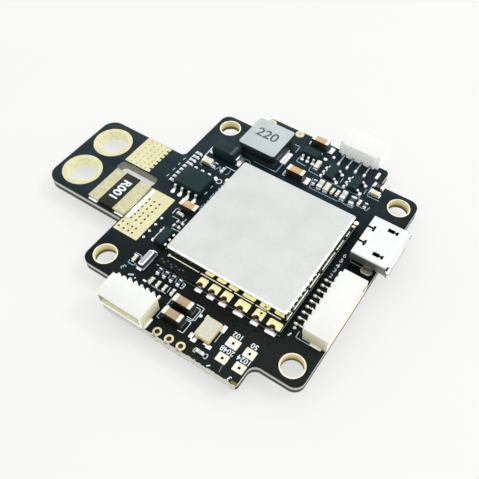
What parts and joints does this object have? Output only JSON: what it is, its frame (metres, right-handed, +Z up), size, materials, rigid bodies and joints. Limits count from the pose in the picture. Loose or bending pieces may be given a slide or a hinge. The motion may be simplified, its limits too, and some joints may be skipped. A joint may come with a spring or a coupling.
{
  "type": "flight controller board",
  "caption": "Square flight controller board with a power tab, a shielded video transmitter module, side-entry pin connectors, a micro USB socket and a power inductor.",
  "frame": {"origin": "centre of the four mounting holes, in the plane of the board's underside", "axes": "+Z up through the component side, +X towards the USB socket with the power tab at -X, +Y towards the four-way connector"},
  "size_m": [0.0516, 0.0454, 0.0061],
  "materials": {
    "solder_mask": "satin black solder mask on glass-epoxy laminate",
    "black_epoxy": "matt moulded epoxy",
    "ivory_nylon": "smooth moulded nylon, slightly translucent",
    "bright_steel": "fine-grained plated steel",
    "tin": "tin plate and solder",
    "gold": "thin gold plate",
    "ferrite": "grey-blue printed ferrite",
    "copper": "enamelled copper wire",
    "tan_ceramic": "sintered ceramic with tinned ends"
  },
  "bodies": {
    "root": {"main_board": "solder_mask", "vtx_module_board": "solder_mask", "inductor_resin": "black_epoxy", "schottky_diode": "black_epoxy", "buck_converter_chip": "black_epoxy", "rf_supply_regulator": "black_epoxy", "signal_inverter_1": "black_epoxy", "signal_inverter_2": "black_epoxy", "low_noise_regulator": "black_epoxy", "usb_insulator": "black_epoxy", "vtx_rf_chip": "black_epoxy", "vtx_power_amplifier": "black_epoxy", "processor": "black_epoxy", "osd_chip": "black_epoxy", "flash_memory": "black_epoxy", "motion_sensor": "black_epoxy", "left_connector_housing": "ivory_nylon", "right_connector_housing": "ivory_nylon", "rear_connector_housing": "ivory_nylon", "vtx_shield_can": "bright_steel", "usb_shell": "bright_steel", "vtx_reference_crystal": "bright_steel", "watch_crystal": "bright_steel", "pressure_sensor": "bright_steel", "shunt_resistor": "tin", "left_connector_contact_1": "tin", "left_connector_contact_2": "tin", "left_connector_contact_3": "tin", "left_connector_contact_4": "tin", "left_connector_contact_5": "tin", "left_connector_contact_6": "tin", "right_connector_contact_1": "tin", "right_connector_contact_2": "tin", "right_connector_contact_3": "tin", "right_connector_contact_4": "tin", "right_connector_contact_5": "tin", "right_connector_contact_6": "tin", "right_connector_contact_7": "tin", "right_connector_contact_8": "tin", "right_connector_contact_9": "tin", "rear_connector_contact_1": "tin", "rear_connector_contact_2": "tin", "rear_connector_contact_3": "tin", "rear_connector_contact_4": "tin", "main_crystal": "gold", "usb_contact_1": "gold", "usb_contact_2": "gold", "usb_contact_3": "gold", "usb_contact_4": "gold", "usb_contact_5": "gold", "inductor_core": "ferrite", "inductor_winding": "copper", "bulk_capacitor_1": "tan_ceramic", "bulk_capacitor_2": "tan_ceramic", "bulk_capacitor_3": "tan_ceramic", "bulk_capacitor_4": "tan_ceramic", "bulk_capacitor_5": "tan_ceramic", "tantalum_capacitor_1": "tan_ceramic", "tantalum_capacitor_2": "tan_ceramic"}
  },
  "joints": []
}
